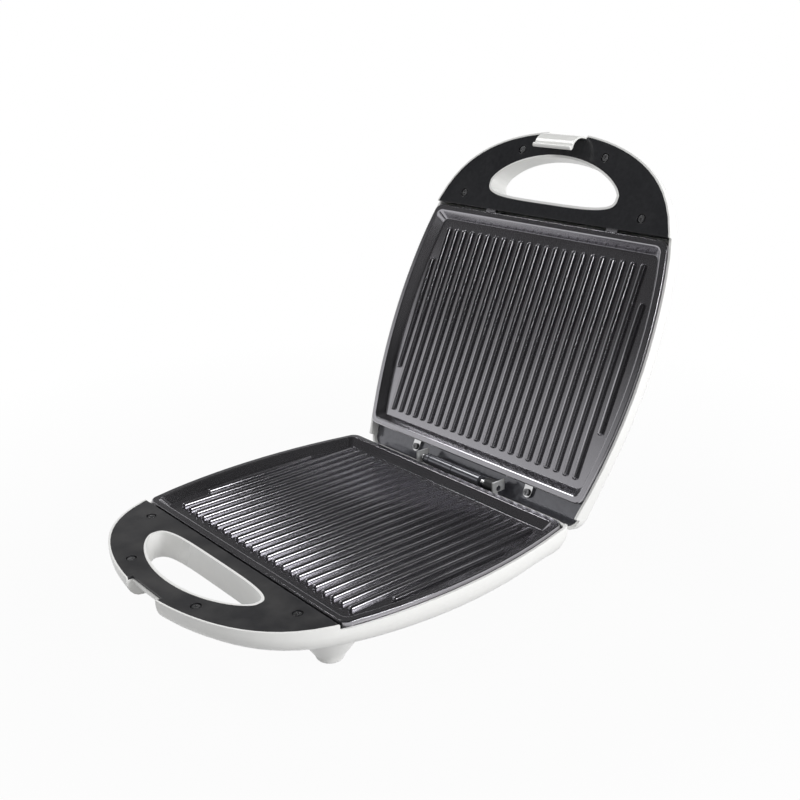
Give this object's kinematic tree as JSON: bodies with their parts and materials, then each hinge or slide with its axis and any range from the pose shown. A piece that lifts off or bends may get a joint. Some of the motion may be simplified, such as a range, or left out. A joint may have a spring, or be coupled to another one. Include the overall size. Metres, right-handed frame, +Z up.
{
  "type": "sandwich toaster",
  "caption": "Electric contact grill: flat lower housing on feet with a ribbed plate, matching hinged lid, loop handles and a clip latch.",
  "frame": {"origin": "on the table plane, midway in width and midway between the handle's front and the rearmost point of the open lid", "axes": "+X to the right seen from the handle, +Y from the handle towards the hinge, +Z up"},
  "size_m": [0.3, 0.4538, 0.3282],
  "materials": {
    "housing": "smooth white moulded plastic, semi gloss",
    "latch": "smooth white moulded plastic",
    "base_cover": "charcoal plastic, satin",
    "lid_cover": "near-black plastic, semi gloss",
    "plate": "cast aluminium with dark speckled non-stick coating",
    "heater": "oxidised steel sheath",
    "reflector": "bright aluminised sheet",
    "screws": "zinc plated",
    "bracket": "galvanised sheet steel",
    "pins": "drawn steel rod",
    "bush": "black nylon",
    "pads": "light grey rubber, matte",
    "inlet": "black soft plastic bush",
    "terminal": "cream insulating plastic",
    "ceramic": "glass fibre sleeve and ceramic",
    "wiring": "woven glass sleeve",
    "red_lens": "translucent red lens",
    "green_lens": "translucent green lens"
  },
  "bodies": {
    "base": {"base_shell": "housing", "base_handle_cover": "base_cover", "base_rear_cover": "base_cover", "lower_plate": "plate", "lower_element": "heater", "lower_reflector": "reflector", "lower_reflector_screws": "screws", "base_plate_screws": "screws", "base_cover_screws": "screws", "foot_pads": "pads", "cord_inlet": "inlet", "terminal_block": "terminal", "thermal_fuse": "ceramic", "base_wiring": "wiring", "hinge_bracket": "bracket", "bracket_screws": "screws", "hinge_pin": "pins", "pin_clip": "pins", "hinge_bush": "bush"},
    "lid": {"lid_shell": "housing", "lid_handle_cover": "lid_cover", "lid_hinge_cover": "lid_cover", "upper_plate": "plate", "upper_element": "heater", "upper_reflector": "reflector", "upper_reflector_screws": "screws", "lid_plate_screws": "screws", "lid_cover_screws": "screws", "thermostat": "ceramic", "lid_wiring": "wiring", "power_lamp": "red_lens", "ready_lamp": "green_lens", "latch_pin": "pins"},
    "latch": {"latch": "latch"}
  },
  "joints": [
    {"name": "lid_hinge", "type": "hinge", "parent": "base", "child": "lid", "pos_m": [0, 0.08578, 0.046], "axis": [1, 0, 0], "range_deg": [0, 115]},
    {"name": "latch_pivot", "type": "hinge", "parent": "lid", "child": "latch", "pos_m": [0, 0.22333, 0.32016], "axis": [-1, 0, 0], "range_deg": [0, 40]}
  ]
}
